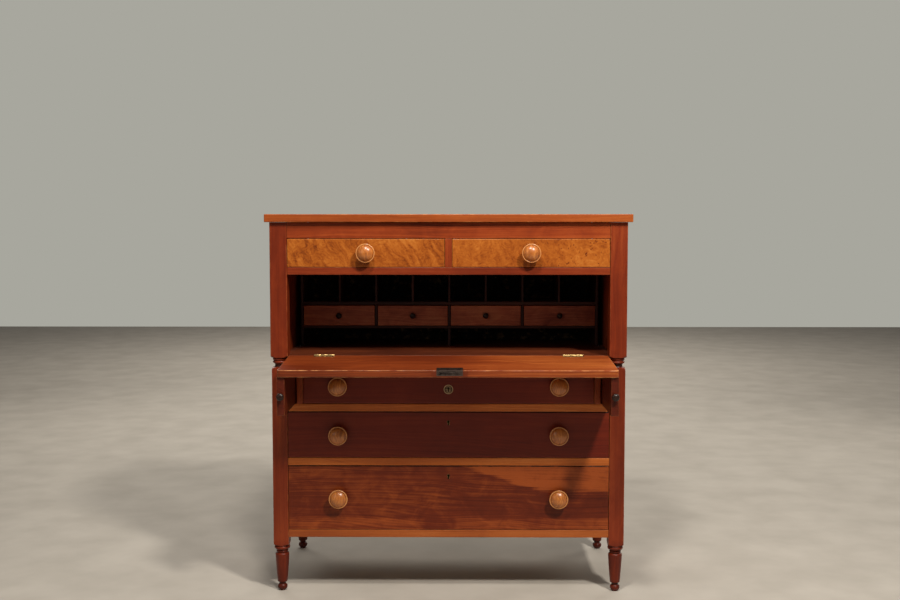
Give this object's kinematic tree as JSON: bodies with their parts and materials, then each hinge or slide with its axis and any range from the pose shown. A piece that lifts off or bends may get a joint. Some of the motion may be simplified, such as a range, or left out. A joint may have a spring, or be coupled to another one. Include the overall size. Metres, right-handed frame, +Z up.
{
  "type": "secretary desk",
  "caption": "Chest-shaped secretary desk with a hinged fall front, pull-out lopers, an inner gallery of pigeonholes and small drawers, and long drawers on turned legs.",
  "frame": {"origin": "centre of the stored shape's footprint on the floor, with the fall open and the lopers out", "axes": "+Z up, +Y from the desk's front to its back, +X to the right seen from the front"},
  "size_m": [1.146, 0.769, 1.2],
  "materials": {
    "cherry": "shellac, satin, red-brown cherry",
    "dark_cherry": "dark aged shellac",
    "burl_maple": "figured maple veneer under shellac",
    "knob_maple": "turned maple, polished by use",
    "poplar": "unfinished secondary wood",
    "ebonised": "dark stained, satin",
    "brass": "aged brass",
    "steel": "dark patinated steel"
  },
  "bodies": {
    "carcass": {"post_front_left": "cherry", "post_front_right": "cherry", "post_back_left": "cherry", "post_back_right": "cherry", "top_board": "cherry", "side_panel_left": "cherry", "side_panel_right": "cherry", "top_rail": "cherry", "upper_drawer_rail": "cherry", "upper_muntin": "cherry", "desk_rail": "cherry", "lower_rail_1": "cherry", "lower_rail_2": "cherry", "bottom_rail": "cherry", "loper_divider_left": "cherry", "loper_divider_right": "cherry", "writing_board": "dark_cherry", "gallery_drawer_case": "dark_cherry", "pigeonhole_rack": "dark_cherry", "gallery_end_left": "dark_cherry", "gallery_end_right": "dark_cherry", "back_panel": "poplar", "dust_board_upper": "poplar", "dust_board_1": "poplar", "dust_board_2": "poplar", "bottom_frame": "poplar", "hinge_left_board_leaf": "brass", "hinge_right_board_leaf": "brass"},
    "fall": {"fall_board": "cherry", "fall_lock": "steel", "hinge_left_fall_leaf": "brass", "hinge_right_fall_leaf": "brass"},
    "fall_bolt": {"fall_lock_bolt": "steel"},
    "loper_left": {"loper_left": "cherry", "loper_knob_left": "ebonised"},
    "upper_drawer_left": {"upper_drawer_left_front": "burl_maple", "upper_drawer_left_box": "poplar", "upper_drawer_left_knob": "knob_maple"},
    "loper_right": {"loper_right": "cherry", "loper_knob_right": "ebonised"},
    "upper_drawer_right": {"upper_drawer_right_front": "burl_maple", "upper_drawer_right_box": "poplar", "upper_drawer_right_knob": "knob_maple"},
    "drawer_1": {"drawer_1_front": "cherry", "drawer_1_box": "poplar", "drawer_1_knob_left": "knob_maple", "drawer_1_knob_right": "knob_maple", "drawer_1_escutcheon": "steel"},
    "drawer_2": {"drawer_2_front": "cherry", "drawer_2_box": "poplar", "drawer_2_knob_left": "knob_maple", "drawer_2_knob_right": "knob_maple"},
    "drawer_3": {"drawer_3_front": "cherry", "drawer_3_box": "poplar", "drawer_3_knob_left": "knob_maple", "drawer_3_knob_right": "knob_maple"},
    "gallery_drawer_1": {"gallery_drawer_1": "dark_cherry"},
    "gallery_drawer_2": {"gallery_drawer_2": "dark_cherry"},
    "gallery_drawer_3": {"gallery_drawer_3": "dark_cherry"},
    "gallery_drawer_4": {"gallery_drawer_4": "dark_cherry"}
  },
  "joints": [
    {"name": "fall_hinge", "type": "hinge", "parent": "carcass", "child": "fall", "pos_m": [0, -0.1215, 0.756], "axis": [-1, 0, 0], "range_deg": [0, 93.34]},
    {"name": "fall_bolt_slide", "type": "slide", "parent": "fall", "child": "fall_bolt", "axis": [0, -0.9983, -0.0584], "range_m": [0, 0.007]},
    {"name": "loper_left_slide", "type": "slide", "parent": "carcass", "child": "loper_left", "axis": [0, 1, 0], "range_m": [0, 0.2265]},
    {"name": "loper_right_slide", "type": "slide", "parent": "carcass", "child": "loper_right", "axis": [0, 1, 0], "range_m": [0, 0.2265]},
    {"name": "upper_drawer_left_slide", "type": "slide", "parent": "carcass", "child": "upper_drawer_left", "axis": [0, -1, 0], "range_m": [0, 0.36]},
    {"name": "upper_drawer_right_slide", "type": "slide", "parent": "carcass", "child": "upper_drawer_right", "axis": [0, -1, 0], "range_m": [0, 0.36]},
    {"name": "drawer_1_slide", "type": "slide", "parent": "carcass", "child": "drawer_1", "axis": [0, -1, 0], "range_m": [0, 0.36]},
    {"name": "drawer_2_slide", "type": "slide", "parent": "carcass", "child": "drawer_2", "axis": [0, -1, 0], "range_m": [0, 0.36]},
    {"name": "drawer_3_slide", "type": "slide", "parent": "carcass", "child": "drawer_3", "axis": [0, -1, 0], "range_m": [0, 0.36]},
    {"name": "gallery_drawer_1_slide", "type": "slide", "parent": "carcass", "child": "gallery_drawer_1", "axis": [0, -1, 0], "range_m": [0, 0.15]},
    {"name": "gallery_drawer_2_slide", "type": "slide", "parent": "carcass", "child": "gallery_drawer_2", "axis": [0, -1, 0], "range_m": [0, 0.15]},
    {"name": "gallery_drawer_3_slide", "type": "slide", "parent": "carcass", "child": "gallery_drawer_3", "axis": [0, -1, 0], "range_m": [0, 0.15]},
    {"name": "gallery_drawer_4_slide", "type": "slide", "parent": "carcass", "child": "gallery_drawer_4", "axis": [0, -1, 0], "range_m": [0, 0.15]}
  ]
}
